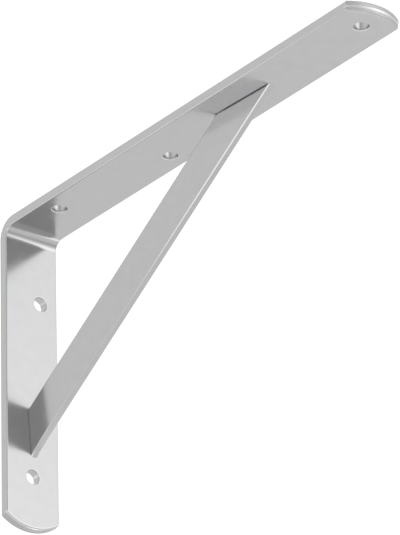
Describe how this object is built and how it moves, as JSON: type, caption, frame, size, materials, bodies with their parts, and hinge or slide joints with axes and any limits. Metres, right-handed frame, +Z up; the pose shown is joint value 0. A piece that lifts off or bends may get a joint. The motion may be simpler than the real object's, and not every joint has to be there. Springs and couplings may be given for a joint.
{
  "type": "gallows shelf bracket",
  "caption": "Flat steel bar bent to a right angle with rounded, drilled arms, braced by a welded diagonal strut set on edge, to carry a shelf from a wall.",
  "frame": {"origin": "on the face that bears on the wall, in the middle of the bar's width, level with the upper wall hole", "axes": "+X out from the wall along the shelf arm, +Y across the bracket, +Z up"},
  "size_m": [0.271, 0.0306, 0.1605],
  "materials": {
    "bar_metal": "bright plated, glossy",
    "strut_metal": "bright plated, glossy"
  },
  "bodies": {
    "root": {"bent_bar": "bar_metal", "strut": "strut_metal"}
  },
  "joints": []
}
